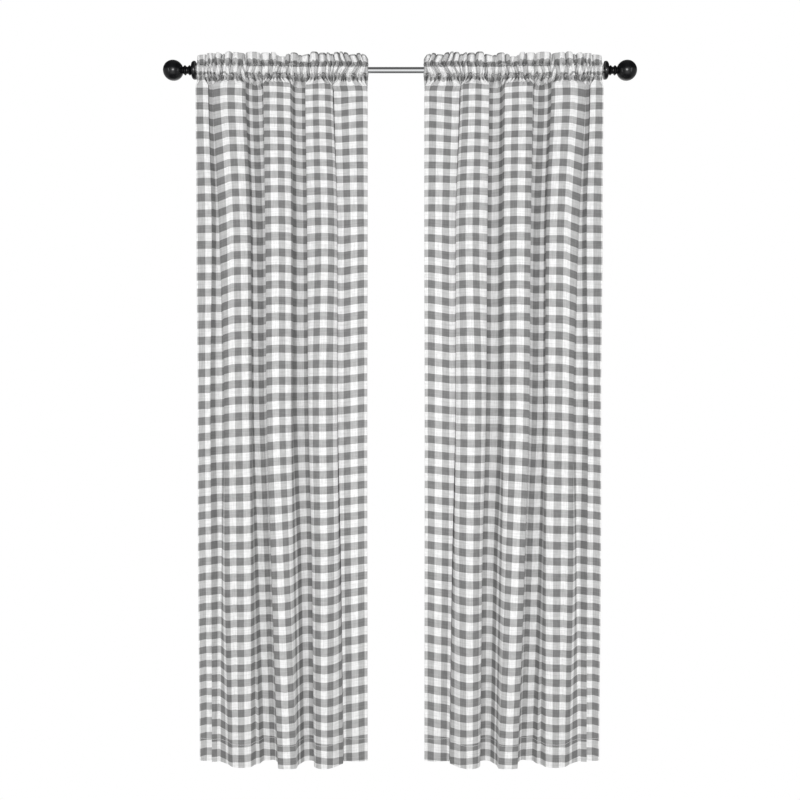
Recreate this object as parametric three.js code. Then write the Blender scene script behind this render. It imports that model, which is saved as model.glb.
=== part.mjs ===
// A pair of gingham curtain panels, gathered on a round metal rod with a ball finial at each end.
// Millimetres, +Z up. The origin is on the rod's axis, half-way along it, and -Y is the room side.
import * as THREE from "three";

// ---- Rod and finials ----
const ROD_DIAMETER = 19;
const COLLAR_FACE = 612; // from the middle of the rod to the inner face of a finial's collar
const FIT_GAP = 0.3; // between the rod's end and the collar
const COLLAR = { radius: 27.5, thickness: 12, rim: 5 };
const NECK = { rings: 2, length: 27, ringRadius: 15, grooveRadius: 10.5 };
const BALL = { radius: 30.5, centre: 680 };

const FINIAL_SIDES = 28;
const SHOULDER_STEPS = 4;
const STEPS_PER_RING = 6;
const BALL_STEPS = 14;

// ---- Cloth ----
const CLOTH_THICKNESS = 1.5;
const SHARPEST_CORNER = 0.5; // keeps the cloth's back from spiking where it turns sharply
const RUFFLE_TOP = 53; // heights are from the rod's axis
const HEADER_STITCH = 15;
const POCKET_STITCH = -15;
const HEM = -2082;
const RUFFLE_UNEVEN = 3;

// The cloth is laid over the rod in gathers, which fade out below the pocket.
const GATHER_SPACING = 1.25; // most bands of the check between one crest and the next trough
const GATHER_DEPTH = 8;
const GATHER_FADE = 150; // drop below the rod's axis at which the gathers have gone
const HEADING_EVENNESS = 0.6; // 1: gathers evenly spaced, 0: spaced as the folds under them
const POCKET_GATHER_DEPTH = 6.5;
const ROD_CLEARANCE = 1.5;
const POCKET_HEIGHTS = [-9, 0, 9]; // rows of the pocket between its two seams
const POCKET_TAPER = 0.1; // how fast the pocket narrows above and below the rod's axis
const RUFFLE_SHARES = [0, 0.5, 1]; // rows of the ruffle between the header stitch and its top

// Where each fold's edges are given: how far below the rod's axis.
const NECK_DROP = 90;
const UPPER_DROP = 450;
const MIDDLE_DROP = 1200;
const FOOT_DROP = -HEM;
const ROW_DROPS = [-POCKET_STITCH, 30, 60, 110, 220, 450, 820, 1200, 1640, FOOT_DROP];

// The folds of a panel, from its outer edge to its inner one.
// from, to: the fold's share of the cloth, in bands of the check (a panel is 50 bands, 1067 mm).
// left, right: its edges, from the panel's outer edge, at the neck, upper, middle and foot drops.
// depth: the middle of the fold behind the rod's axis, at the neck, body and foot.
// fall: how far its edges lie behind its middle. A turn or a tuck is a single line.
const FOLDS = [
  { name: "outer turn", from: 0, to: 0, left: [7, 4, 8, 14], depth: [12, 38, 50] },
  {
    name: "outer face", from: 1, to: 3.4, depth: [-4, 20, 36], fall: 4,
    left: [0, -3, 1, 6], right: [36, 39, 38, 37],
  },
  { name: "outer tuck", from: 5.4, to: 5.4, left: [43, 47, 49, 54], depth: [22, 58, 58] },
  {
    name: "recess", from: 7.4, to: 10.4, depth: [6, 22, 12], fall: -3,
    left: [47, 52, 55, 60], right: [65, 79, 76, 79],
  },
  {
    name: "first ridge", from: 12.4, to: 15.4, depth: [-18, -36, -31], fall: 9,
    left: [73, 95, 103, 108], right: [135, 155, 163, 165],
  },
  {
    name: "first valley", from: 18.4, to: 20.4, depth: [24, 38, 42], fall: -6,
    left: [153, 162, 171, 194], right: [186, 196, 210, 229],
  },
  {
    name: "second ridge", from: 23.4, to: 26.4, depth: [-18, -42, -42], fall: 7,
    left: [203, 212, 219, 243], right: [261, 269, 274, 302],
  },
  {
    name: "second valley", from: 30.4, to: 32.4, depth: [22, 38, 34], fall: -10,
    left: [293, 295, 301, 316], right: [324, 329, 339, 349],
  },
  {
    name: "third ridge", from: 34.4, to: 38.4, depth: [-18, -40, -42], fall: 13,
    left: [326, 334, 343, 354], right: [405, 413, 413, 411],
  },
  { name: "inner tuck", from: 41.9, to: 41.9, left: [409, 421, 427, 436], depth: [14, 48, 44] },
  {
    name: "inner face", from: 44.4, to: 49, depth: [0, -6, 24], fall: 4,
    left: [412, 422, 428, 442], right: [512, 512, 512, 512],
  },
  { name: "inner turn", from: 50, to: 50, left: [503, 505, 505, 505], depth: [14, 18, 42] },
];

// Each panel: where its outer edge hangs, which way it runs from there and how wide it is stretched.
const PANELS = [
  { name: "panel_left", outerEdge: -610, run: 1, stretch: 1 },
  { name: "panel_right", outerEdge: 607, run: -1, stretch: 1.041 },
];

// ---- Materials ----
const cloth = new THREE.MeshStandardMaterial({ color: "#c4c4c4", roughness: 0.9, side: THREE.DoubleSide });
const rodMetal = new THREE.MeshStandardMaterial({ color: "#c9cacc", roughness: 0.25, metalness: 1 });
const blackGloss = new THREE.MeshStandardMaterial({ color: "#0c0c0d", roughness: 0.25 });

// ---- Curves through a few given points ----
function smoothstep(low, high, value) {
  const t = THREE.MathUtils.clamp((value - low) / (high - low), 0, 1);
  return t * t * (3 - 2 * t);
}

// A curve through rising points that never swings past them (Fritsch-Carlson slopes).
function gentleCurve(at, value) {
  const last = at.length - 1;
  const rise = at.slice(1).map((a, i) => (value[i + 1] - value[i]) / (a - at[i]));
  const slope = at.map((_, i) => {
    if (i === 0) return rise[0];
    if (i === last) return rise[last - 1];
    const [before, after] = [rise[i - 1], rise[i]];
    return before * after <= 0 ? 0 : (2 * before * after) / (before + after);
  });
  return (x) => {
    let i = 0;
    while (i < last - 1 && x > at[i + 1]) i += 1;
    const span = at[i + 1] - at[i];
    const t = (x - at[i]) / span;
    const [t2, t3] = [t * t, t * t * t];
    return (
      (2 * t3 - 3 * t2 + 1) * value[i] +
      (t3 - 2 * t2 + t) * span * slope[i] +
      (3 * t2 - 2 * t3) * value[i + 1] +
      (t3 - t2) * span * slope[i + 1]
    );
  };
}

// ---- The hanging folds ----
const LEVELS = [NECK_DROP, UPPER_DROP, MIDDLE_DROP, FOOT_DROP];

function acrossAt(edge, drop) {
  return gentleCurve(LEVELS, edge)(Math.max(drop, NECK_DROP));
}

function depthAt([neck, body, foot], drop) {
  const opening = smoothstep(-POCKET_STITCH, NECK_DROP, drop) * neck;
  const hanging = opening + smoothstep(NECK_DROP / 2, UPPER_DROP, drop) * (body - neck);
  return hanging + smoothstep(MIDDLE_DROP, FOOT_DROP, drop) * (foot - body);
}

// The plan of the hanging cloth at a drop: across and depth, as curves over the bands of the check.
function planAt(drop) {
  const points = [];
  for (const { from, to, left, right, depth, fall } of FOLDS) {
    const start = acrossAt(left, drop);
    const middle = depthAt(depth, drop);
    if (from === to) {
      points.push({ band: from, across: start, back: middle });
      continue;
    }
    const end = acrossAt(right, drop);
    const edgeBack = middle + depthAt([fall / 2, fall, fall], drop);
    points.push({ band: from, across: start, back: edgeBack });
    points.push({ band: (from + to) / 2, across: (start + end) / 2, back: middle });
    points.push({ band: to, across: end, back: edgeBack });
  }
  const bands = points.map((p) => p.band);
  return {
    bands,
    across: gentleCurve(bands, points.map((p) => p.across)),
    back: gentleCurve(bands, points.map((p) => p.back)),
  };
}

// Crests and troughs of the gathers, alternating along the cloth, with a line on every fold's edge.
function gatherLines() {
  const { bands } = planAt(NECK_DROP);
  const lines = [bands[0]];
  for (let i = 1; i < bands.length; i += 1) {
    const gap = bands[i] - bands[i - 1];
    const parts = Math.ceil(gap / GATHER_SPACING);
    for (let part = 1; part <= parts; part += 1) lines.push(bands[i - 1] + (gap * part) / parts);
  }
  return lines;
}

const LINES = gatherLines();

function crestAt(line) {
  return line % 2 === 1 ? 1 : 0;
}

// One level of the cloth's room side: a point [x, y] for each gather line.
function frontRow(panel, drop) {
  const plan = planAt(drop);
  const width = plan.across(LINES.at(-1)) - plan.across(0);
  const hanging = smoothstep(-POCKET_STITCH, NECK_DROP, drop);
  const gathered = GATHER_DEPTH * (1 - smoothstep(-POCKET_STITCH, GATHER_FADE, drop));
  return LINES.map((band, line) => {
    const even = plan.across(0) + (width * band) / LINES.at(-1);
    const spread = HEADING_EVENNESS * (1 - hanging);
    const across = plan.across(band) * (1 - spread) + even * spread;
    const back = plan.back(band) + gathered * (0.5 - crestAt(line));
    return [panel.outerEdge + panel.run * panel.stretch * across, back];
  });
}

// The same row moved back by a thickness, square to the cloth.
function rowBehind(row, thickness, run) {
  const normals = row.slice(1).map(([x, y], i) => {
    const along = new THREE.Vector2(x - row[i][0], y - row[i][1]).normalize();
    return new THREE.Vector2(-along.y * run, along.x * run);
  });
  return row.map(([x, y], i) => {
    const before = normals[Math.max(i - 1, 0)];
    const after = normals[Math.min(i, normals.length - 1)];
    const reach = thickness / Math.max(1 + before.dot(after), SHARPEST_CORNER);
    return [x + (before.x + after.x) * reach, y + (before.y + after.y) * reach];
  });
}

// ---- The heading: a ruffle over a pocket that goes round the rod ----
const POCKET_BULGE = ROD_DIAMETER / 2 + ROD_CLEARANCE;

function pocketRow(stitchRow, height, side, outside) {
  const narrowing = Math.abs(height) * POCKET_TAPER;
  return stitchRow.map(([x], line) => {
    const gather = crestAt(line) === (side < 0 ? 1 : 0) ? POCKET_GATHER_DEPTH : 0;
    const reach = POCKET_BULGE - narrowing + gather + (outside ? CLOTH_THICKNESS : 0);
    return [x, side * reach];
  });
}

// The top of the ruffle rises and falls along the rod in two crossing waves.
function ruffleHeight(line, share) {
  const [longWave, shortWave] = [Math.sin(0.9 * line), Math.sin(2.3 * line + 1)];
  const uneven = RUFFLE_UNEVEN * (0.6 * longWave + 0.4 * shortWave);
  return HEADER_STITCH + share * (RUFFLE_TOP - HEADER_STITCH + uneven);
}

// ---- One panel as a closed solid ----
function panelGeometry(panel) {
  const rows = []; // each row: one vertex for each gather line
  const addRow = (row, height) => {
    rows.push(row.map(([x, y], line) => [x, y, typeof height === "function" ? height(line) : height]));
    return rows.length - 1;
  };
  const doubled = 2 * CLOTH_THICKNESS;
  const fronts = [];
  const backs = [];
  for (const drop of [...ROW_DROPS].reverse()) {
    const front = frontRow(panel, drop);
    const thickness = drop === -POCKET_STITCH ? doubled : CLOTH_THICKNESS;
    fronts.push(addRow(front, -drop));
    backs.push(addRow(rowBehind(front, thickness, panel.run), -drop));
  }
  const stitchRow = frontRow(panel, -POCKET_STITCH);
  const pocket = { frontOut: [], frontIn: [], backIn: [], backOut: [] };
  for (const height of POCKET_HEIGHTS) {
    pocket.frontOut.push(addRow(pocketRow(stitchRow, height, -1, true), height));
    pocket.frontIn.push(addRow(pocketRow(stitchRow, height, -1, false), height));
    pocket.backIn.push(addRow(pocketRow(stitchRow, height, 1, false), height));
    pocket.backOut.push(addRow(pocketRow(stitchRow, height, 1, true), height));
  }
  const seam = rowBehind(stitchRow, CLOTH_THICKNESS, panel.run);
  const seamLow = addRow(seam, POCKET_STITCH + CLOTH_THICKNESS);
  const seamHigh = addRow(seam, HEADER_STITCH - CLOTH_THICKNESS);
  const ruffleFronts = [];
  const ruffleBacks = [];
  for (const share of RUFFLE_SHARES) {
    ruffleFronts.push(addRow(stitchRow, (line) => ruffleHeight(line, share)));
    ruffleBacks.push(addRow(rowBehind(stitchRow, doubled, panel.run), (line) => ruffleHeight(line, share)));
  }

  const count = LINES.length;
  const faces = [];
  const vertex = (row, line) => row * count + line;
  const addQuad = (a, b, c, d) => faces.push(a, b, c, a, c, d);
  const loop = (loopRows) => {
    loopRows.forEach((row, i) => {
      const next = loopRows[(i + 1) % loopRows.length];
      for (let line = 0; line + 1 < count; line += 1) {
        addQuad(vertex(row, line), vertex(row, line + 1), vertex(next, line + 1), vertex(next, line));
      }
    });
  };
  const outerFront = [...fronts, ...pocket.frontOut, ...ruffleFronts];
  const outerBack = [...backs, ...pocket.backOut, ...ruffleBacks];
  loop([...outerFront, ...[...outerBack].reverse()]);
  loop([seamLow, ...pocket.backIn, seamHigh, ...[...pocket.frontIn].reverse()]);

  // The two side edges of the cloth.
  const bodyRows = fronts.length;
  const innerFront = [...Array(bodyRows - 1).fill(null), seamLow, ...pocket.frontIn, seamHigh];
  const innerBack = [...Array(bodyRows - 1).fill(null), seamLow, ...pocket.backIn, seamHigh];
  for (const [line, turned] of [[0, true], [count - 1, false]]) {
    const strip = (a, b, c, d) => {
      const corners = [a, b, c, d].map((row) => vertex(row, line));
      addQuad(...(turned ? corners.reverse() : corners));
    };
    const wedge = (a, b, c) => {
      const corners = [a, b, c].map((row) => vertex(row, line));
      faces.push(...(turned ? corners.reverse() : corners));
    };
    for (let i = 0; i + 1 < outerFront.length; i += 1) {
      const inPocket = i >= bodyRows - 1 && i < bodyRows + POCKET_HEIGHTS.length;
      if (inPocket) {
        strip(outerFront[i], innerFront[i], innerFront[i + 1], outerFront[i + 1]);
        strip(innerBack[i], outerBack[i], outerBack[i + 1], innerBack[i + 1]);
      } else {
        strip(outerFront[i], outerBack[i], outerBack[i + 1], outerFront[i + 1]);
      }
    }
    wedge(outerFront[bodyRows - 1], outerBack[bodyRows - 1], seamLow);
    const headerRow = bodyRows + POCKET_HEIGHTS.length;
    wedge(outerFront[headerRow], seamHigh, outerBack[headerRow]);
  }
  if (panel.run < 0) faces.reverse();

  const geometry = new THREE.BufferGeometry();
  geometry.setAttribute("position", new THREE.Float32BufferAttribute(rows.flat(2), 3));
  geometry.setIndex(faces);
  geometry.computeVertexNormals();
  return geometry;
}

// ---- Rod and finials ----
function rodGeometry() {
  const length = 2 * (COLLAR_FACE - FIT_GAP);
  return new THREE.CylinderGeometry(ROD_DIAMETER / 2, ROD_DIAMETER / 2, length, 40).rotateZ(Math.PI / 2);
}

// A turned finial along +Y: a collar with a round shoulder, a neck of rings and grooves, and a ball.
function finialGeometry() {
  const profile = [[0, COLLAR_FACE], [COLLAR.radius, COLLAR_FACE]];
  const shoulder = COLLAR_FACE + COLLAR.thickness - COLLAR.rim;
  for (let i = 0; i <= SHOULDER_STEPS; i += 1) {
    const angle = (Math.PI * i) / (2 * SHOULDER_STEPS);
    const inset = COLLAR.rim * (1 - Math.cos(angle));
    profile.push([COLLAR.radius - inset, shoulder + COLLAR.rim * Math.sin(angle)]);
  }
  const neckStart = COLLAR_FACE + COLLAR.thickness;
  const steps = NECK.rings * STEPS_PER_RING;
  const middle = (NECK.ringRadius + NECK.grooveRadius) / 2;
  const swing = (NECK.ringRadius - NECK.grooveRadius) / 2;
  for (let i = 0; i <= steps; i += 1) {
    const turn = (2 * Math.PI * NECK.rings * i) / steps;
    profile.push([middle - swing * Math.cos(turn), neckStart + (NECK.length * i) / steps]);
  }
  const joint = Math.asin(NECK.grooveRadius / BALL.radius);
  for (let i = 1; i <= BALL_STEPS; i += 1) {
    const angle = joint + ((Math.PI - joint) * i) / BALL_STEPS;
    const radius = i === BALL_STEPS ? 0 : BALL.radius * Math.sin(angle);
    profile.push([radius, BALL.centre - BALL.radius * Math.cos(angle)]);
  }
  return new THREE.LatheGeometry(profile.map(([r, y]) => new THREE.Vector2(r, y)), FINIAL_SIDES);
}

function namedMesh(name, geometry, material) {
  const mesh = new THREE.Mesh(geometry, material.clone());
  mesh.name = name;
  return mesh;
}

const curtain = new THREE.Group();
curtain.add(namedMesh("rod", rodGeometry(), rodMetal));
for (const [name, turn] of [["finial_left", 1], ["finial_right", -1]]) {
  const finial = namedMesh(name, finialGeometry(), blackGloss);
  finial.rotation.z = (turn * Math.PI) / 2;
  curtain.add(finial);
}
for (const panel of PANELS) curtain.add(namedMesh(panel.name, panelGeometry(panel), cloth));

export default curtain;
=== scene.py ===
# A pair of gingham curtain panels, gathered on a round metal rod with a black ball finial at
# each end. Metres, +Z up. The origin is on the rod's axis, half-way along it, and -Y is the
# room side.
import math

import bpy
import numpy as np
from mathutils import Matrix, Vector


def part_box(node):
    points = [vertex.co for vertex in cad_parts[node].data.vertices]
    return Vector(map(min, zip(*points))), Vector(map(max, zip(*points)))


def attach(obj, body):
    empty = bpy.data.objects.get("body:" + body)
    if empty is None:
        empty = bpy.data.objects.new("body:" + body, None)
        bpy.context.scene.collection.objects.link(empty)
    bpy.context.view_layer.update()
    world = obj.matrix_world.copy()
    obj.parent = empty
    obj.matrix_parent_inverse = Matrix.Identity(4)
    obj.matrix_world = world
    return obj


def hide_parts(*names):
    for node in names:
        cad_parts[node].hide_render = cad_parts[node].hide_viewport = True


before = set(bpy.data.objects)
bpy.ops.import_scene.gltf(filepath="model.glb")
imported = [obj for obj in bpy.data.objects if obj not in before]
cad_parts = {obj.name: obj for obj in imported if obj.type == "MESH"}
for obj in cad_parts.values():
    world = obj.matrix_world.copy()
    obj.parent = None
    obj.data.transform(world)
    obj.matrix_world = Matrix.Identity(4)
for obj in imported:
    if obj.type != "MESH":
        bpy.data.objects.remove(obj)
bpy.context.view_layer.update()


# ---- Camera ----------------------------------------------------------------------------------
# A long way back and level, half-way down the panels, so that the rod and the hems look straight.
CAMERA_DISTANCE = 3.1
CAMERA_DROP = 0.989
CAMERA_LENS = 46.5

camera = bpy.data.objects.new("camera", bpy.data.cameras.new("camera"))
camera.data.lens = CAMERA_LENS
camera.location = (0, -CAMERA_DISTANCE, -CAMERA_DROP)
camera.rotation_euler = (math.pi / 2, 0, 0)
bpy.context.collection.objects.link(camera)
bpy.context.scene.camera = camera


# ---- Rod -------------------------------------------------------------------------------------
# A 19 mm steel tube, bright nickel plated, cut off square. It runs through both panels' pockets
# and is plugged at each end by a finial.
MM = 0.001
ROD_SIDES = 96
ROD_EDGE = 0.4 * MM
SMOOTH_ANGLE = math.radians(35)


def linear(hex_colour):
    """An sRGB hex colour as the linear RGBA that shaders take."""
    channels = [int(hex_colour[i : i + 2], 16) / 255 for i in (1, 3, 5)]
    return [c / 12.92 if c <= 0.04045 else ((c + 0.055) / 1.055) ** 2.4 for c in channels] + [1]


def node(tree, kind, settings=None, **inputs):
    """Adds a shader node: its settings by name, and each input as a value or a socket to link."""
    made = tree.nodes.new(kind)
    for name, value in (settings or {}).items():
        setattr(made, name, value)
    for name, value in inputs.items():
        index = int(name[1:]) if name[1:].isdigit() else name.replace("_", " ")
        if isinstance(value, bpy.types.NodeSocket):
            tree.links.new(value, made.inputs[index])
        else:
            made.inputs[index].default_value = value
    return made


def new_material(name):
    """A material without nodes, and its node tree."""
    material = bpy.data.materials.new(name)
    material.use_nodes = True
    material.node_tree.nodes.clear()
    return material, material.node_tree


def finished(piece, material):
    """Gives a finished piece its material and its body."""
    piece.data.materials.clear()
    piece.data.materials.append(material)
    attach(piece, "root")
    return piece


def settle(piece):
    """Puts a piece's place into its mesh, so that the object itself sits at the origin."""
    bpy.ops.object.select_all(action="DESELECT")
    piece.select_set(True)
    bpy.context.view_layer.objects.active = piece
    bpy.ops.object.transform_apply(location=True, rotation=True, scale=True)


rod_low, rod_high = [Vector(corner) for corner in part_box("rod")]
rod_radius = (rod_high.z - rod_low.z) / 2
bpy.ops.object.select_all(action="DESELECT")
bpy.ops.mesh.primitive_cylinder_add(
    vertices=ROD_SIDES,
    radius=rod_radius,
    depth=rod_high.x - rod_low.x,
    rotation=(0, math.pi / 2, 0),
)
rod = bpy.context.object
rod.name = "plated_rod"
settle(rod)
edges = rod.modifiers.new("cut_edges", "BEVEL")
edges.width = ROD_EDGE
edges.segments = 2
bpy.ops.object.modifier_apply(modifier=edges.name)
bpy.ops.object.shade_smooth_by_angle(angle=SMOOTH_ANGLE)

# Bright nickel plate on drawn tube: near-mirror, with faint drawing lines along the tube.
NICKEL = "#d2d3d4"
DRAWN_LINE = 0.6 * MM

nickel, tree = new_material("nickel_plated_steel")
place = node(tree, "ShaderNodeTexCoord").outputs["Object"]
along = node(tree, "ShaderNodeMapping", Vector=place, Scale=(1, 1 / DRAWN_LINE, 1 / DRAWN_LINE))
lines = node(tree, "ShaderNodeTexNoise", Vector=along.outputs[0], Scale=1, Detail=2)
haze = node(
    tree,
    "ShaderNodeMapRange",
    Value=lines.outputs["Fac"],
    From_Min=0.3,
    From_Max=0.7,
    To_Min=0.06,
    To_Max=0.12,
)
grain = node(tree, "ShaderNodeBump", Height=lines.outputs["Fac"], Strength=0.015, Distance=0.1 * MM)
shader = node(
    tree,
    "ShaderNodeBsdfPrincipled",
    Base_Color=linear(NICKEL),
    Metallic=1,
    Roughness=haze.outputs[0],
    Normal=grain.outputs[0],
)
node(tree, "ShaderNodeOutputMaterial", Surface=shader.outputs[0])
finished(rod, nickel)
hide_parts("rod")


# ---- Finials ---------------------------------------------------------------------------------
# One moulded resin piece at each end: a collar that stops the cloth, a neck turned with two
# rings, and a ball. It is pushed into the end of the tube, and its black finish is glossy.
COLLAR_RADIUS = 27.5 * MM
COLLAR_THICKNESS = 12 * MM
COLLAR_SHOULDER = 8 * MM
COLLAR_LIP = 2 * MM
NECK_GROOVE = 10.5 * MM
NECK_RING = 15 * MM
NECK_RINGS = 2
RING_SHARPNESS = 1.5
NECK_LENGTH = 27 * MM
BALL_RADIUS = 30.5 * MM
TURNED_SIDES = 96
SHOULDER_STEPS = 8
RING_STEPS = 12
BALL_STEPS = 40


def finial_profile(face, ball_centre):
    """The finial's outline as (distance along the rod, radius), from the collar's face outwards."""
    profile = [
        (face, 0),
        (face, COLLAR_RADIUS - COLLAR_LIP),
        (face + COLLAR_LIP / 3, COLLAR_RADIUS - COLLAR_LIP / 3),
    ]
    shoulder = face + COLLAR_THICKNESS - COLLAR_SHOULDER
    for step in range(SHOULDER_STEPS + 1):
        turn = math.pi / 2 * step / SHOULDER_STEPS
        radius = COLLAR_RADIUS - COLLAR_SHOULDER * (1 - math.cos(turn))
        profile.append((shoulder + COLLAR_SHOULDER * math.sin(turn), radius))
    neck_start = face + COLLAR_THICKNESS
    for step in range(NECK_RINGS * RING_STEPS + 1):
        share = step / (NECK_RINGS * RING_STEPS)
        crest = (0.5 - 0.5 * math.cos(2 * math.pi * NECK_RINGS * share)) ** RING_SHARPNESS
        radius = NECK_GROOVE + (NECK_RING - NECK_GROOVE) * crest
        profile.append((neck_start + NECK_LENGTH * share, radius))
    joint = math.asin(NECK_GROOVE / BALL_RADIUS)
    for step in range(1, BALL_STEPS + 1):
        turn = joint + (math.pi - joint) * step / BALL_STEPS
        radius = 0 if step == BALL_STEPS else BALL_RADIUS * math.sin(turn)
        profile.append((ball_centre - BALL_RADIUS * math.cos(turn), radius))
    return profile


def turned(name, profile):
    """A solid turned about the rod's axis: the outline is drawn point by point, then spun."""
    bpy.ops.object.select_all(action="DESELECT")
    bpy.ops.mesh.primitive_plane_add(size=2 * MM)
    piece = bpy.context.object
    piece.name = name
    bpy.ops.object.mode_set(mode="EDIT")
    bpy.ops.mesh.merge(type="CENTER")
    start = Vector((profile[0][0], 0, profile[0][1]))
    bpy.ops.transform.translate(value=start)
    for (x, radius), (last_x, last_radius) in zip(profile[1:], profile):
        bpy.ops.mesh.extrude_vertices_move(
            TRANSFORM_OT_translate={"value": (x - last_x, 0, radius - last_radius)}
        )
    bpy.ops.mesh.select_all(action="SELECT")
    bpy.ops.mesh.spin(steps=TURNED_SIDES, angle=2 * math.pi, center=(0, 0, 0), axis=(1, 0, 0))
    bpy.ops.mesh.select_all(action="SELECT")
    bpy.ops.mesh.remove_doubles(threshold=0.01 * MM)
    bpy.ops.mesh.normals_make_consistent(inside=False)
    bpy.ops.object.mode_set(mode="OBJECT")
    settle(piece)
    bpy.ops.object.shade_smooth_by_angle(angle=SMOOTH_ANGLE)
    return piece


# Black gloss lacquer over resin: almost black, clear-coated, with the slight orange peel of spray.
LACQUER_BLACK = "#070709"
LACQUER_WORN = "#101013"
CLOUDING = 14 * MM
ORANGE_PEEL = 5 * MM

lacquer, tree = new_material("black_gloss_lacquer")
place = node(tree, "ShaderNodeTexCoord").outputs["Object"]
clouds = node(tree, "ShaderNodeTexNoise", Vector=place, Scale=1 / CLOUDING, Detail=3)
tint = node(
    tree,
    "ShaderNodeMix",
    {"data_type": "RGBA"},
    i0=clouds.outputs["Fac"],
    i6=linear(LACQUER_BLACK),
    i7=linear(LACQUER_WORN),
)
peel = node(tree, "ShaderNodeTexNoise", Vector=place, Scale=1 / ORANGE_PEEL, Detail=1)
skin = node(tree, "ShaderNodeBump", Height=peel.outputs["Fac"], Strength=0.15, Distance=0.15 * MM)
shader = node(
    tree,
    "ShaderNodeBsdfPrincipled",
    Base_Color=tint.outputs[2],
    Roughness=0.28,
    Specular_IOR_Level=0.25,
    Coat_Weight=0.35,
    Coat_Roughness=0.14,
    Normal=skin.outputs[0],
)
node(tree, "ShaderNodeOutputMaterial", Surface=shader.outputs[0])

for side, name in ((-1, "finial_left"), (1, "finial_right")):
    low, high = [Vector(corner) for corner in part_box(name)]
    face = min(abs(low.x), abs(high.x))
    tip = max(abs(low.x), abs(high.x))
    outline = finial_profile(face, tip - BALL_RADIUS)
    finial = turned("turned_" + name, [(side * x, radius) for x, radius in outline])
    finished(finial, lacquer)
    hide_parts(name)


# ---- Gingham panels --------------------------------------------------------------------------
# Each panel is one cut of grey and white cotton gingham, 42 in wide, hemmed at the foot and sides.
# The top is turned to the back and stitched twice: above the upper seam it stands up as a ruffle,
# and between the seams it makes the pocket that is gathered on the rod. Sizes here are in mm.
CLOTH_WIDTH = 1067
BANDS = 50  # the half-stripes of the check across the cloth, which places on it are counted in
BAND = CLOTH_WIDTH / BANDS
ROW_REPEAT = 46.6
RUFFLE_TOP = 53
UPPER_SEAM = 15
LOWER_SEAM = -15
TURNED_UNDER = 6
HEM = -2082
SIDE_HEM = 17
FOOT_HEM = 70
CLOTH_THICKNESS = 0.6
TURNED_GAP = 1.5  # from the panel to the turned-under edge behind it
PANEL_WIDTH = 514  # along the rod, as gathered

# The drops below the rod's axis at which the edges of the folds are given.
LEVELS = (90, 510, 990, 1470, 2040)
FOLDS_OPEN = 46  # the drop at which the folds have opened to their depth at the neck
FOLDS_DEEPEN = (40, 450)  # the drops between which they change to their depth in the body
FOLDS_SETTLE = (1200, 2082)  # and then to their depth at the foot

# The faces of the folds, from the outer edge in: first and last band, the left and right edges
# from the panel's outer edge at each level, the depth of the middle behind the rod's axis at the
# neck, body and foot, and how far the edges lie behind the middle.
FACES = (
    (1, 3.4, (-3, -4, 0, 0, 3), (35, 42, 38, 40, 40), (-4, 14, 30), 4),
    (8.4, 9.4, (46, 53, 51, 58, 57), (61, 66, 71, 70, 68), (10, 34, 28), -4),
    (12.4, 15.4, (73, 96, 101, 104, 111), (138, 156, 160, 166, 166), (-18, -36, -31), 9),
    (19.4, 20.4, (162, 175, 182, 198, 215), (180, 195, 198, 214, 230), (36, 38, 40), -4),
    (23.4, 26.4, (203, 211, 215, 228, 247), (262, 270, 270, 282, 301), (-18, -42, -42), 7),
    (30.4, 32.4, (293, 297, 298, 311, 320), (331, 336, 340, 346, 350), (36, 38, 34), -8),
    (35.4, 38.4, (349, 357, 350, 356, 360), (403, 415, 410, 414, 411), (-18, -40, -42), 12),
    (45.4, 48.4, (433, 442, 441, 443, 447), (499, 502, 503, 503, 503), (0, -6, 24), 4),
)
# The creases between them, where the cloth turns back: band, distance across, depth.
CREASES = (
    (0, (3, 4, 6, 7, 12), (12, 38, 50)),
    (5.4, (35.5, 42, 38, 40.5, 40.5), (22, 58, 58)),
    (7.4, (36.5, 43.5, 39.5, 42, 42), (6, 12, 20)),
    (10.4, (58, 73, 84, 77, 86), (6, 8, 8)),
    (11.4, (49, 70, 84, 85, 94), (-5, -8, 0)),
    (16.2, (148, 165, 167, 171, 176), (-8, -16, -2)),
    (17.4, (146, 161, 164, 173, 187), (12, 14, 8)),
    (18.4, (153, 164, 167, 180, 198), (32, 34, 34)),
    (21.4, (193, 204, 206, 219, 235), (26, 28, 28)),
    (22.6, (200, 208, 211, 225, 243), (4, 2, 4)),
    (27.4, (282, 286, 286, 292, 304), (-10, -24, -10)),
    (28.4, (285, 289, 289, 297, 307), (2, -6, 0)),
    (29.4, (286, 288, 288, 302, 311), (12, 6, 6)),
    (33.4, (329, 334, 338, 347, 352), (20, 20, 16)),
    (34.4, (326, 332, 335, 346, 352), (-2, -6, -6)),
    (39.4, (409, 423, 423, 426, 427), (0, -10, -8)),
    (40.4, (408, 420, 421, 430, 438), (8, 12, 8)),
    (42, (408.5, 419, 420.5, 430.5, 438.5), (16, 44, 42)),
    (44.6, (412, 422.5, 423, 432, 439.5), (4, 2, 26)),
    (49.1, (513, 513, 512, 512, 512), (7, 2, 32)),
    (50, (512, 507, 505, 505, 505), (16, 20, 46)),
)

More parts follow.
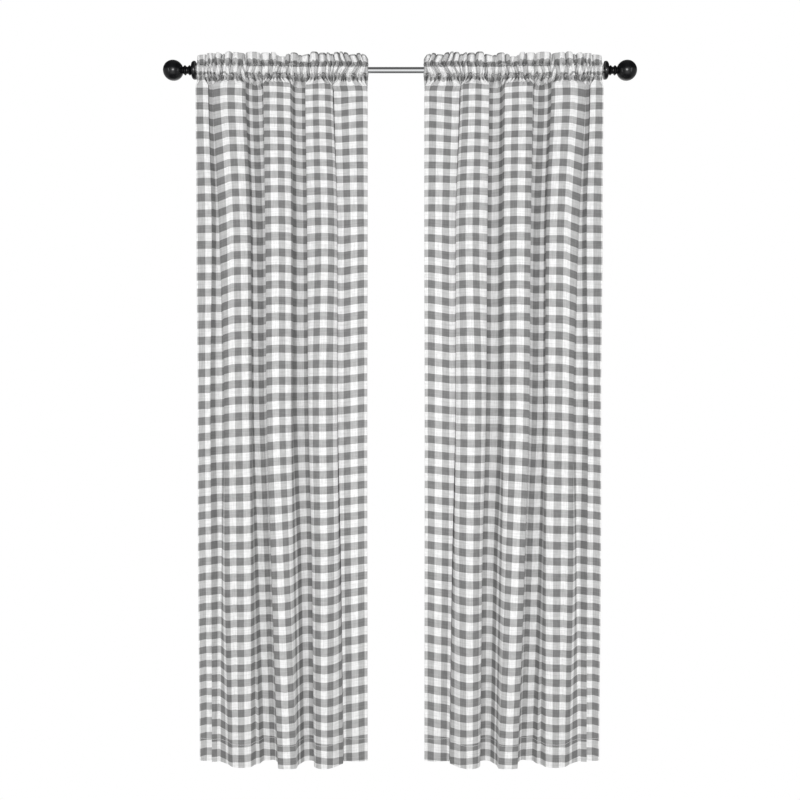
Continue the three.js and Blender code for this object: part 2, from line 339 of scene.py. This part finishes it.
# Where the grey rows of the check hang, below the rod's axis: the weave is pulled a little out of
# true, and at the heading it has slipped by half a row in the gather behind band 16.4.
ROW_PLACES = (0.6, 2.2, 8.9, 11.6, 13, 16.4, 17.2, 19.9, 25, 30.4, 36.9, 41, 45.2, 48.2)
ROWS = (
    # row, counted up from the foot, then its drop at each place
    (47, -108, -108, -108, -108, -108, -106, -78, -72, -70, -58, -56, -56, -56, -56),
    (46, -65, -65, -65, -65, -65, -64, -21, -19, -19, -16, -16, -16, -17, -17),
    (45, -24, -24, -24, -24, -23, -22, 15, 19, 19, 22, 23, 23, 23, 23),
    (44, 19, 19, 20, 22, 21, 22, 38, 41, 45, 49, 52, 53, 54, 53),
    (43, 64, 64, 67, 72, 68, 70, 73, 76, 79, 82, 87, 89, 91, 85),
    (40, 193, 193, 198, 203, 195, 194, 193, 195, 197, 195, 202, 204, 207, 202),
    (36, 381, 379, 377, 385, 374, 371, 362, 364, 363, 360, 370, 370, 370, 369),
    (32, 569, 569, 567, 571, 560, 556, 557, 557, 552, 552, 552, 554, 557, 549),
    (20, 1152, 1148, 1142, 1138, 1135, 1132, 1133, 1134, 1123, 1120, 1118, 1116, 1113, 1106),
    (12, 1529, 1522, 1519, 1522, 1516, 1515, 1514, 1515, 1507, 1495, 1490, 1484, 1478, 1470),
    (8, 1710, 1702, 1700, 1706, 1698, 1697, 1697, 1696, 1697, 1686, 1686, 1680, 1669, 1658),
    (5, 1837, 1828, 1829, 1838, 1830, 1829, 1833, 1835, 1844, 1833, 1839, 1836, 1821, 1812),
    (2, 1969, 1960, 1965, 1972, 1966, 1964, 1971, 1979, 1982, 1973, 1978, 1986, 1974, 1963),
    (0, 2062, 2053, 2056, 2061, 2055, 2053, 2053, 2060, 2059, 2057, 2057, 2074, 2070, 2065),
)

# The heading from its lower seam to the ruffle's top: how far the doubled cloth sways with the
# gathers, how far each layer stands off the middle, and how much more it swells at a gather.
HEADING = (
    # height, sway, stand-off, swell
    (-15, 17, 0.8, 0),
    (-11, 7, 8.5, 4),
    (-5, 1, 11, 5.5),
    (3, 0, 11.4, 5.5),
    (10, 4, 9, 5),
    (15, 13, 0.8, 0),
    (20, 15, 1.4, 0.5),
    (34, 19, 2.4, 1.5),
    (47, 20, 2.2, 1.5),
    (53, 20, 0.6, 0),
)

SEAM_ROWS = (-20, 21)

# The ruffle's rim: distance from the outer edge, and how far the rim is below its top there.
RIM = (
    (0, 9), (20, 7), (32, 1), (58, 1), (76, 5), (97, -2), (112, -1), (130, 2), (180, 1), (235, 0),
    (250, 13), (262, 11), (283, 3), (304, 4), (316, 11), (334, 5), (346, 1), (394, 1), (403, 8),
    (415, -1), (433, -1), (460, 6), (490, 3), (505, 9), (512, 16),
)

# The creases of the ruffle: where each starts at the upper seam, how far it leans to the right for
# each mm up, and how far the cloth stands forward before the next one.
RUFFLE_CREASES = (
    # place, lean, stand
    (0, 0, 0.7),
    (24, 0.1, 0.5),
    (46, 0.3, 1.1),
    (64, 0.35, 0.5),
    (80, 0.1, 0.9),
    (106, 0, 0.8),
    (136, 0.22, -0.3),
    (148, -0.08, 1.1),
    (190, 0.05, 0.7),
    (214, 0.2, 0.9),
    (240, 0, 0.7),
    (262, 0.1, 0.9),
    (280, 0, 1.1),
    (309, -0.1, 0.8),
    (334, 0.15, 1.2),
    (366, 0, 0.7),
    (388, 0, 1),
    (408, 0.05, 0.7),
    (424, 0.1, 1),
    (440, 0, 1.1),
    (462, -0.15, 0.6),
    (482, -0.1, 0.9),
    (497, -0.1, 1),
    (514, 0, 0.5),
)

# How the creases under the lower seam run down towards the hollows between the folds: distance
# from the outer edge, and mm to the right for each mm down.
FANS = (
    # place, slant
    (0, 0),
    (40, 0.25),
    (70, 0.45),
    (88, 0),
    (103, -0.3),
    (122, -0.1),
    (165, 0.4),
    (192, 0),
    (216, -0.4),
    (240, 0),
    (290, 0.45),
    (308, 0),
    (330, -0.3),
    (350, 0),
    (375, 0.35),
    (396, 0),
    (425, -0.4),
    (462, -0.2),
    (495, -0.35),
    (514, 0),
)

# How the cloth leans in the pocket: mm sideways for each mm up.
LEAN = (
    # distance from the outer edge, lean
    (0, 0),
    (70, 0.15),
    (110, -0.2),
    (150, 0.1),
    (220, 0.2),
    (290, -0.1),
    (350, 0.1),
    (400, 0.2),
    (430, 0.65),
    (495, 0.55),
    (514, 0),
)
LEAN_FADE = 70  # the drop at which the cloth has stopped leaning

# The gathers between the seams and just below them: their least and most width and strength, how
# deep they are, how far each side of a gather tucks under, the least and most drop at which they
# have faded out, and their most slant.
GATHER_WIDTH = (6, 14)
GATHER_STRENGTH = (0.6, 1.2)
GATHER_DEPTH = 18
GATHER_TUCK = 0.1
GATHER_FADE = (30, 70)
GATHER_SLANT = 0.4
GATHERED_OVER = 5  # bands over which the gathers even out the folds below them

# The finer creases that the stitching draws up at each seam: their least and most width and
# strength, how deep they are, their most slant, and how far they reach from the seam into the
# pocket and away from it.
CRINKLE_WIDTH = (4, 9)
CRINKLE_STRENGTH = (0.2, 1.1)
CRINKLE_DEPTH = 17
CRINKLE_SLANT = 0.9
CRINKLE_REACH = (5, 8)
CRINKLE_REST = 0.4  # the part of a crease's height at which the cloth stays in place

# At each seam the rows of the check slip up and down, and swell where a gather stands forward.
WEAVE_SLIP = 10
WEAVE_SWELL = 0.55
WEAVE_REACH = 15
WEAVE_REST = 0.6  # the part of a gather's height at which a row neither swells nor shrinks

RUFFLE_START = 14  # how far above the upper seam the ruffle's own creases have taken over
RIM_RISE = 3  # the most that the rim may stand above the ruffle's top

MOST_FOLDS = 220  # more folds than fit along the rod, so that a random draw never runs out
FIRST_FOLD = -60
SEED = 11
AVERAGED = 29  # the places that the evened-out folds of the heading are averaged over
FINE_BANDS = 2001
COLUMNS = 440
TAIL_ROWS = 3
HEADING_ROWS = 25
NECK_ROWS = 22
BODY_ROWS = 36
CLOTH_SMOOTH_ANGLE = 60


def gentle_curve(at, value):
    """A smooth curve through points that never swings past them."""
    at, value = np.asarray(at, float), np.asarray(value, float)
    span = np.diff(at)
    rise = np.diff(value) / span
    before, after = rise[:-1], rise[1:]
    same_way = before * after > 0
    inner = np.where(same_way, 2 * before * after / np.where(same_way, before + after, 1), 0)
    slope = np.concatenate([rise[:1], inner, rise[-1:]])

    def curve(x):
        i = np.clip(np.searchsorted(at, x) - 1, 0, len(at) - 2)
        t = (x - at[i]) / span[i]
        value_part = value[i] + (value[i + 1] - value[i]) * t * t * (3 - 2 * t)
        slope_part = slope[i] * (t - 2 * t * t + t**3) + slope[i + 1] * (t**3 - t * t)
        return value_part + slope_part * span[i]

    return curve


def smoothstep(low, high, value):
    """0 at the low value, 1 at the high one, and easing from one to the other."""
    t = np.clip((value - low) / (high - low), 0, 1)
    return t * t * (3 - 2 * t)


def across_at(edge, drop):
    """How far across an edge lies at a drop; above the first level it hangs straight."""
    return float(gentle_curve(LEVELS, edge)(np.clip(drop, LEVELS[0], -HEM)))


def depth_at(depth, drop):
    """How far behind the rod's axis a place hangs at a drop, from its depths down the panel."""
    neck, body, foot = depth
    opening = smoothstep(-LOWER_SEAM, FOLDS_OPEN, drop) * neck
    hanging = opening + smoothstep(*FOLDS_DEEPEN, drop) * (body - neck)
    return hanging + smoothstep(*FOLDS_SETTLE, drop) * (foot - body)


def plan_at(drop):
    """The cloth's plan at a drop: curves over the bands for across and for depth."""
    points = [(band, across_at(edge, drop), depth_at(depth, drop)) for band, edge, depth in CREASES]
    for first, last, left, right, depth, fall in FACES:
        start, end = across_at(left, drop), across_at(right, drop)
        middle = depth_at(depth, drop)
        edge = middle + depth_at((fall / 2, fall, fall), drop)
        points.append((first, start, edge))
        points.append(((first + last) / 2, (start + end) / 2, middle))
        points.append((last, end, edge))
    bands, across, back = zip(*sorted(points))
    return gentle_curve(bands, across), gentle_curve(bands, back)


def heading_places(band):
    """Where the bands of the cloth lie along the rod: as they hang, but evened out."""
    spread = np.linspace(-GATHERED_OVER, GATHERED_OVER, AVERAGED)
    near = np.asarray(band)[:, None] + spread
    hung = plan_at(-LOWER_SEAM)[0](BANDS - abs(BANDS - abs(near)))
    hung = np.where(near < 0, -hung, hung)
    hung = np.where(near > BANDS, 2 * PANEL_WIDTH - hung, hung)
    return np.average(hung, axis=1, weights=np.cos(spread / GATHERED_OVER * math.pi / 2))


random = np.random.default_rng(SEED)

# Half of the columns are shared out evenly over the cloth, and half evenly along the rod.
fine_band = np.linspace(0, BANDS, FINE_BANDS)
column_share = (fine_band / BANDS + heading_places(fine_band) / PANEL_WIDTH) / 2
column_band = np.interp(np.linspace(0, 1, COLUMNS + 1), column_share, fine_band)
heading_x = heading_places(column_band)


def folded(edges, strength, roundness, gap):
    """Folds side by side between uneven edges, as a function from a place to crest and push.

    The crest is how far the cloth stands forward, and the push moves it sideways, in under itself.
    """

    def fold(place):
        i = np.clip(np.searchsorted(edges, place, "right") - 1, 0, len(edges) - 2)
        width = edges[i + 1] - edges[i]
        share = np.clip((place - edges[i]) / width, 0, 1)
        raised = np.clip((share - gap) / (1 - 2 * gap), 0, 1)
        wave = np.maximum(np.sin(np.pi * raised), 0) ** roundness
        return strength[i] * wave, -width * np.sin(2 * np.pi * share)

    return fold


def random_edges(width):
    """The edges of folds of random widths, side by side along the rod."""
    return np.cumsum(random.uniform(*width, MOST_FOLDS)) + FIRST_FOLD


def uneven(low, high, changes):
    """A value that wanders along the rod, and how often it changes."""
    knots = np.linspace(0, PANEL_WIDTH, changes)
    return np.interp(heading_x, knots, random.uniform(low, high, changes))


SEAMS = (UPPER_SEAM, LOWER_SEAM)
gather_edges = random_edges(GATHER_WIDTH)
gather_strengths = random.uniform(*GATHER_STRENGTH, MOST_FOLDS)
gather = folded(gather_edges, gather_strengths, roundness=0.3, gap=0.13)
crinkle_edges = random_edges(CRINKLE_WIDTH)
crinkle_strengths = random.uniform(*CRINKLE_STRENGTH, MOST_FOLDS)
crinkles = folded(crinkle_edges, crinkle_strengths, roundness=1, gap=0)
crinkle_slants = [uneven(-CRINKLE_SLANT, CRINKLE_SLANT, changes=45) for seam in SEAMS]
lean = np.interp(heading_x, *zip(*LEAN))
fan = np.interp(heading_x, *zip(*FANS))
fade_drop = uneven(*GATHER_FADE, changes=28)
slips = [WEAVE_SLIP * uneven(-1, 1, changes=60) ** 3 for seam in SEAMS]
crease_places, crease_leans, crease_stands = np.array(RUFFLE_CREASES).T
gather_slants = uneven(-GATHER_SLANT, GATHER_SLANT, changes=22)


def gathers_at(height):
    """The gathers' crest and push at a height: they slant in the pocket and fan out below it."""
    in_pocket = np.clip(height, LOWER_SEAM, UPPER_SEAM)
    below = np.clip(LOWER_SEAM - height, 0, GATHER_FADE[1])
    return gather(heading_x + gather_slants * in_pocket - fan * below)


def crinkle(height):
    """The fine creases that the stitching draws up close to a seam."""
    total = 0
    reach = CRINKLE_REACH[0] if LOWER_SEAM < height < UPPER_SEAM else CRINKLE_REACH[1]
    for seam, slant in zip(SEAMS, crinkle_slants):
        crest = crinkles(heading_x + slant * (height - seam))[0]
        total += (crest - CRINKLE_REST) * np.exp(-(((height - seam) / reach) ** 2))
    return CRINKLE_DEPTH * total


def column_places(height):
    """Across for every column at a height: evened out along the rod, and opening below it."""
    opened = smoothstep(-LOWER_SEAM, FOLDS_OPEN, -height) ** 2
    hung = plan_at(max(-height, -LOWER_SEAM))[0](column_band)
    above = smoothstep(UPPER_SEAM, RUFFLE_TOP, height)
    leaning = lean * np.clip(height, LOWER_SEAM, UPPER_SEAM)
    leaning = leaning * (smoothstep(-LEAN_FADE, LOWER_SEAM, height) * (1 - above))
    return heading_x + (hung - heading_x) * opened + leaning


def body_row(drop):
    """Across, depth and height of every column of the hanging cloth at a drop."""
    gathered = 1 - smoothstep(-LOWER_SEAM, fade_drop, drop)
    crest, push = gathers_at(-drop)
    x = column_places(-drop) + GATHER_TUCK * push * gathered ** 3
    back = plan_at(drop)[1](column_band)
    y = back + (GATHER_DEPTH * (0.5 - crest) - crinkle(-drop)) * gathered
    return x, y, np.full_like(x, -drop)


def heading_row(height, layer):
    """The same for the heading: layer is -1 in front of the rod and 1 behind it."""
    heights, *columns = zip(*HEADING)
    sway, stand, swell = (gentle_curve(heights, column)(height) for column in columns)
    above = max(height - UPPER_SEAM, 0)
    edges = crease_places + crease_leans * above
    ruffle = folded(edges, crease_stands, roundness=0.5, gap=0.09)
    share = smoothstep(0, RUFFLE_START, above)
    pairs = zip(gathers_at(height), ruffle(heading_x))
    crest, push = ((1 - share) * low + share * high for low, high in pairs)
    shown = crest if layer < 0 else 1 - crest
    x = column_places(height) + GATHER_TUCK * push
    y = sway * (0.5 - crest) + layer * (stand + swell * shown) - crinkle(height)
    dip = np.interp(x, *zip(*RIM)) * above / (RUFFLE_TOP - UPPER_SEAM)
    return x, y, height - np.maximum(dip, -RIM_RISE)


def check_row(drop):
    """Which row of the check each column shows at a drop."""
    counts = [row[0] for row in ROWS]
    drops = np.array([np.interp(column_band, ROW_PLACES, row[1:]) for row in ROWS])
    slipped = np.full(len(column_band), float(drop))
    raised = gather(heading_x)[0] - WEAVE_REST
    for slip, row_drop in zip(slips, SEAM_ROWS):
        near = np.exp(-(((drop - row_drop) / WEAVE_REACH) ** 2))
        slipped += (slip - WEAVE_SWELL * raised * (drop - row_drop)) * near
    return np.array([gentle_curve(d, counts)(s) for d, s in zip(drops.T, slipped)])


def panel_rows():
    """Every row of the cloth, from the turned-under edge behind the rod, over the top, to the hem.

    A row is across, depth and height, then which row of the check shows and how high on the cloth
    it is sewn, for every column.
    """
    rows = []
    top_check = check_row(-RUFFLE_TOP)
    level = np.zeros_like(column_band)
    for drop in np.linspace(-LOWER_SEAM + TURNED_UNDER, -LOWER_SEAM, TAIL_ROWS, endpoint=False):
        x, y, z = body_row(drop)
        rows.append((x, y + TURNED_GAP, z, 2 * top_check - check_row(drop), z))
    for height in np.linspace(LOWER_SEAM, RUFFLE_TOP, HEADING_ROWS, endpoint=False):
        rows.append((*heading_row(height, 1), 2 * top_check - check_row(-height), level + height))
    for height in np.linspace(RUFFLE_TOP, LOWER_SEAM, HEADING_ROWS, endpoint=False):
        rows.append((*heading_row(height, -1), check_row(-height), level + height))
    neck = np.linspace(-LOWER_SEAM, LEVELS[0], NECK_ROWS, endpoint=False)
    for drop in (*neck, *np.linspace(LEVELS[0], -HEM, BODY_ROWS)):
        rows.append((*body_row(drop), check_row(drop), level - drop))
    return rows


def hang_panel(name, outer_edge, run, stretch):
    """The cloth starts as a flat grid and each of its points is moved to where it hangs."""
    rows = panel_rows()
    bpy.ops.object.select_all(action="DESELECT")
    bpy.ops.mesh.primitive_grid_add(x_subdivisions=COLUMNS, y_subdivisions=len(rows) - 1, size=1)
    panel = bpy.context.object
    panel.name = name
    x, y, z, check, sewn = (np.array([row[i] for row in rows]) for i in range(5))
    places = np.stack([outer_edge + run * stretch * x, y, z], axis=-1) * MM
    mesh = panel.data
    flat = np.empty(len(mesh.vertices) * 3)
    mesh.vertices.foreach_get("co", flat)
    column = np.rint((flat[0::3] + 0.5) * COLUMNS).astype(int)
    row = np.rint((flat[1::3] + 0.5) * (len(rows) - 1)).astype(int)
    mesh.vertices.foreach_set("co", places[row, column].ravel())
    corner = np.empty(len(mesh.loops), dtype=int)
    mesh.loops.foreach_get("vertex_index", corner)
    mesh.uv_layers[0].name = "cloth"
    mesh.uv_layers.new(name="sewing")
    for layer, upward in (("cloth", check * ROW_REPEAT), ("sewing", sewn)):
        uv = np.stack([column_band[column] * BAND, upward[row, column]], axis=-1) * MM
        mesh.uv_layers[layer].data.foreach_set("uv", uv[corner].ravel())
    mesh.update()
    bpy.ops.object.mode_set(mode="EDIT")
    bpy.ops.mesh.select_all(action="SELECT")
    if run > 0:
        bpy.ops.mesh.flip_normals()
    bpy.ops.object.mode_set(mode="OBJECT")

    # Hems are two layers of cloth.
    from_side = np.minimum(column_band, BANDS - column_band)[column] * BAND
    from_foot = z[row, column] - HEM
    hemmed = (from_side < SIDE_HEM) | (from_foot < FOOT_HEM)
    layers = panel.vertex_groups.new(name="layers")
    layers.add(np.flatnonzero(hemmed).tolist(), 1, "REPLACE")
    layers.add(np.flatnonzero(~hemmed).tolist(), 0.5, "REPLACE")
    body = panel.modifiers.new("thickness", "SOLIDIFY")
    body.thickness = 2 * CLOTH_THICKNESS * MM
    body.offset = -1
    body.vertex_group = layers.name
    body.use_even_offset = False
    bpy.ops.object.modifier_apply(modifier=body.name)
    bpy.ops.object.shade_smooth_by_angle(angle=math.radians(CLOTH_SMOOTH_ANGLE))
    return panel


# Yarn-dyed plain weave: white and grey yarns cross, so that the check has white squares, half-tone
# squares where grey crosses white, and full grey squares. Matt, with a little cotton fuzz.
WHITE_ON_WHITE = "#f7f7f7"
GREY_WARP = "#c6c6c6"
GREY_WEFT = "#bcbcbc"
GREY_ON_GREY = "#828282"
YARN_SPACING = 1.1  # real yarn is about half of this, drawn coarser so that it shows
FIRST_BAND = 1.4  # where the first whole grey stripe starts
FIRST_ROW = -0.25  # where the first grey row starts, in repeats
WOBBLE = 25  # how long the stretches are over which a stripe wanders off its line
WOBBLE_REPEATS = 0.03
STRIPE_EDGE = 0.01  # how soft a stripe's edge is, in repeats

gingham, tree = new_material("gingham_cotton")
cloth_uv = node(tree, "ShaderNodeUVMap", {"uv_map": "cloth"}).outputs[0]
flat_place = node(tree, "ShaderNodeSeparateXYZ", Vector=cloth_uv)
wobble = node(tree, "ShaderNodeTexNoise", Vector=cloth_uv, Scale=1 / (WOBBLE * MM), Detail=2)


def maths(operation, first, second=0, third=0):
    """A step of arithmetic on numbers or sockets, in the current node tree, as a socket."""
    made = node(tree, "ShaderNodeMath", {"operation": operation}, i0=first, i1=second, i2=third)
    return made.outputs[0]


wander = maths("MULTIPLY_ADD", wobble.outputs["Fac"], WOBBLE_REPEATS, -WOBBLE_REPEATS / 2)


def stripes(position, repeat, start):
    """1 on the grey yarns and 0 on the white ones; grey fills the first half of each repeat."""
    scaled = maths("MULTIPLY_ADD", position, 1 / (repeat * MM), -start)
    share = maths("FRACT", maths("ADD", scaled, wander))
    from_middle = maths("ABSOLUTE", maths("SUBTRACT", share, 0.25))
    edge = node(
        tree,
        "ShaderNodeMapRange",
        Value=from_middle,
        From_Min=0.25 - STRIPE_EDGE,
        From_Max=0.25 + STRIPE_EDGE,
        To_Min=1,
        To_Max=0,
    )
    return edge.outputs[0]


def yarns(position):
    """The rounded backs of the yarns that lie side by side at the yarn spacing."""
    return maths("SINE", maths("MULTIPLY", position, 2 * math.pi / (YARN_SPACING * MM)))


def blend(share, first, second):
    """A mix of two colours, each given as a hex colour or a socket."""
    first, second = (linear(c) if isinstance(c, str) else c for c in (first, second))
    mixed = node(tree, "ShaderNodeMix", {"data_type": "RGBA"}, i0=share, i6=first, i7=second)
    return mixed.outputs[2]


warp = stripes(flat_place.outputs["X"], 2 * BAND, FIRST_BAND / 2)
weft = stripes(flat_place.outputs["Y"], ROW_REPEAT, FIRST_ROW)
on_white = blend(weft, WHITE_ON_WHITE, GREY_WEFT)
on_grey = blend(weft, GREY_WARP, GREY_ON_GREY)
check_colour = blend(warp, on_white, on_grey)

# Slubs: thicker and thinner stretches of yarn, long along the yarn and fine across it.
SLUB_ACROSS = 4
SLUB_ALONG = 45
SLUB_SHADING = 0.14
YARN_SHADING = 0.04


def slub_noise(across, along):
    """Noise stretched over a distance across the cloth and a distance up it."""
    stretched = node(
        tree,
        "ShaderNodeMapping",
        Vector=cloth_uv,
        Scale=(1 / (across * MM), 1 / (along * MM), 1),
    )
    noise = node(tree, "ShaderNodeTexNoise", Vector=stretched.outputs[0], Scale=1, Detail=2)
    return noise.outputs["Fac"]


slubs = maths("ADD", slub_noise(SLUB_ACROSS, SLUB_ALONG), slub_noise(SLUB_ALONG, SLUB_ACROSS))
crossing = maths("MULTIPLY", yarns(flat_place.outputs["X"]), yarns(flat_place.outputs["Y"]))
shading = node(
    tree,
    "ShaderNodeMapRange",
    Value=slubs,
    From_Min=0.7,
    From_Max=1.3,
    To_Min=1 - SLUB_SHADING,
    To_Max=1 + SLUB_SHADING,
)
# Painted light and shade: where the yarns cross, the colour is brightened and darkened as their
# rounded backs would catch the light. The slubs add the yarn's own uneven tone.
yarn_light = maths("MULTIPLY_ADD", crossing, YARN_SHADING, shading.outputs[0])
yarn_colour = node(
    tree,
    "ShaderNodeVectorMath",
    {"operation": "SCALE"},
    i0=check_colour,
    i3=yarn_light,
)

# Stitches: white thread, one long stitch after another with short gaps, sunk into the cloth. Two
# rows make the pocket, and one holds each hem.
STITCH_LENGTH = 3.6
STITCH_GAP = 0.2  # the part of each stitch's length that shows no thread
THREAD_RADIUS = 0.45
THREAD_SINKS = 2.5  # times the height of a yarn
THREAD_WHITE = "#f2f2f2"
SEAM_INSET = 2  # from a hem's inner fold to its stitches
sewing_uv = node(tree, "ShaderNodeUVMap", {"uv_map": "sewing"}).outputs[0]
sewn_place = node(tree, "ShaderNodeSeparateXYZ", Vector=sewing_uv)


def seam_line(position, along, seam):
    """1 on the stitches of the seam that lies at a position, and 0 off them."""
    distance = maths("ABSOLUTE", maths("SUBTRACT", position, seam * MM))
    on_thread = maths("LESS_THAN", distance, THREAD_RADIUS * MM)
    share = maths("FRACT", maths("MULTIPLY", along, 1 / (STITCH_LENGTH * MM)))
    return maths("MULTIPLY", on_thread, maths("GREATER_THAN", share, STITCH_GAP))


sewn_across, sewn_up = sewn_place.outputs["X"], sewn_place.outputs["Y"]
stitches = seam_line(sewn_up, sewn_across, UPPER_SEAM)
for position, along, seam in (
    (sewn_up, sewn_across, LOWER_SEAM),
    (sewn_up, sewn_across, HEM + FOOT_HEM - SEAM_INSET),
    (sewn_across, sewn_up, SIDE_HEM - SEAM_INSET),
    (sewn_across, sewn_up, CLOTH_WIDTH - SIDE_HEM + SEAM_INSET),
):
    stitches = maths("MAXIMUM", stitches, seam_line(position, along, seam))
sewn_colour = blend(stitches, yarn_colour.outputs[0], THREAD_WHITE)
sunk_height = maths("MULTIPLY_ADD", stitches, -THREAD_SINKS, maths("ADD", crossing, slubs))
weave = node(tree, "ShaderNodeBump", Height=sunk_height, Strength=0.35, Distance=0.15 * MM)
shader = node(
    tree,
    "ShaderNodeBsdfPrincipled",
    Base_Color=sewn_colour,
    Roughness=0.92,
    Sheen_Weight=0.05,
    Sheen_Roughness=0.5,
    Specular_IOR_Level=0.15,
    Normal=weave.outputs[0],
)
node(tree, "ShaderNodeOutputMaterial", Surface=shader.outputs[0])

PANELS = (
    # name, outer edge, which way it runs from there, stretch
    ("panel_left", -610, 1, 1),
    ("panel_right", 607, -1, 1.041),
)
for name, outer_edge, run, stretch in PANELS:
    panel = hang_panel("gingham_" + name, outer_edge, run, stretch)
    finished(panel, gingham)
    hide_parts(name)


# ---- Floor and light -------------------------------------------------------------------------
# A plain pale floor out of sight below, a broad key light over the camera, a strip light at each
# side that rakes across its own panel, and an even white room round them.
FLOOR_HEIGHT = -2.62
FLOOR_FRONT = -2.1
FLOOR_BACK = 1.0
FLOOR_WIDTH = 4.2
FLOOR_PAINT = "#f1f1ef"

bpy.ops.object.select_all(action="DESELECT")
bpy.ops.mesh.primitive_plane_add(size=1, location=(0, (FLOOR_FRONT + FLOOR_BACK) / 2, FLOOR_HEIGHT))
floor = bpy.context.object
floor.name = "floor"
floor.scale = (FLOOR_WIDTH, FLOOR_BACK - FLOOR_FRONT, 1)
settle(floor)
paint, tree = new_material("pale_floor_paint")
shader = node(tree, "ShaderNodeBsdfPrincipled", Base_Color=linear(FLOOR_PAINT), Roughness=0.8)
node(tree, "ShaderNodeOutputMaterial", Surface=shader.outputs[0])
floor.data.materials.append(paint)
floor.visible_glossy = False


def area_light(name, place, aim, width, height, power, spread):
    """A light panel at a place, turned to shine at its aim; the spread is in degrees."""
    light = bpy.data.objects.new(name, bpy.data.lights.new(name, "AREA"))
    light.data.shape = "ELLIPSE"
    light.data.size = width
    light.data.size_y = height
    light.data.energy = power
    light.data.spread = math.radians(spread)
    light.location = place
    light.rotation_euler = (Vector(aim) - Vector(place)).to_track_quat("-Z", "Y").to_euler()
    light.visible_camera = False
    bpy.context.collection.objects.link(light)
    return light


key = area_light(
    "key",
    place=(0, -4.4, -0.6),
    aim=(0, 0, -1),
    width=1.5,
    height=1.5,
    power=94.5,
    spread=180,
)
for side, name in ((-1, "strip_left"), (1, "strip_right")):
    area_light(
        name,
        place=(side * 1.9, -1.3, -0.9),
        aim=(side * 0.35, 0, -1),
        width=0.4,
        height=2.6,
        power=1.5,
        spread=70,
    )

# The key light leaves the rod out, so that the nickel mirrors the room and no hot spot.
kept_from_key = bpy.data.collections.new("kept_from_key")
kept_from_key.objects.link(rod)
key.light_linking.receiver_collection = kept_from_key
kept_from_key.collection_objects[0].light_linking.link_state = "EXCLUDE"

# The room is evenly white. In reflections it is brightest towards the camera and dark overhead and
# underfoot, which draws the dark edges along the rod.
ROOM_LIGHT = 0.42
BRIGHT_HEIGHT = -0.27  # how steeply down the brightest part lies, from 0 level to -1 straight down

world = bpy.data.worlds.new("studio")
bpy.context.scene.world = world
world.use_nodes = True
tree = world.node_tree
tree.nodes.clear()
way = node(tree, "ShaderNodeTexCoord").outputs["Generated"]
split = node(tree, "ShaderNodeSeparateXYZ", Vector=way)
sideways = maths("ABSOLUTE", split.outputs["X"])
upright = maths("ABSOLUTE", maths("SUBTRACT", split.outputs["Z"], BRIGHT_HEIGHT))
width = node(
    tree,
    "ShaderNodeMapRange",
    Value=sideways,
    From_Min=0.2,
    From_Max=0.5,
    To_Min=1,
    To_Max=0.35,
)
height = node(
    tree,
    "ShaderNodeMapRange",
    Value=upright,
    From_Min=0.42,
    From_Max=0.6,
    To_Min=1.2,
    To_Max=0.16,
)
mirrored = maths("MULTIPLY", width.outputs[0], height.outputs[0])
path = node(tree, "ShaderNodeLightPath")
room = node(
    tree,
    "ShaderNodeMix",
    i0=path.outputs["Is Glossy Ray"],
    i2=ROOM_LIGHT,
    i3=mirrored,
)
backdrop = node(
    tree,
    "ShaderNodeMix",
    i0=path.outputs["Is Camera Ray"],
    i2=room.outputs[0],
    i3=1.0,
)
background = node(tree, "ShaderNodeBackground", Strength=backdrop.outputs[0])
background.inputs["Color"].default_value = (1, 1, 1, 1)
node(tree, "ShaderNodeOutputWorld", Surface=background.outputs[0])

bpy.context.scene.view_settings.view_transform = "Standard"
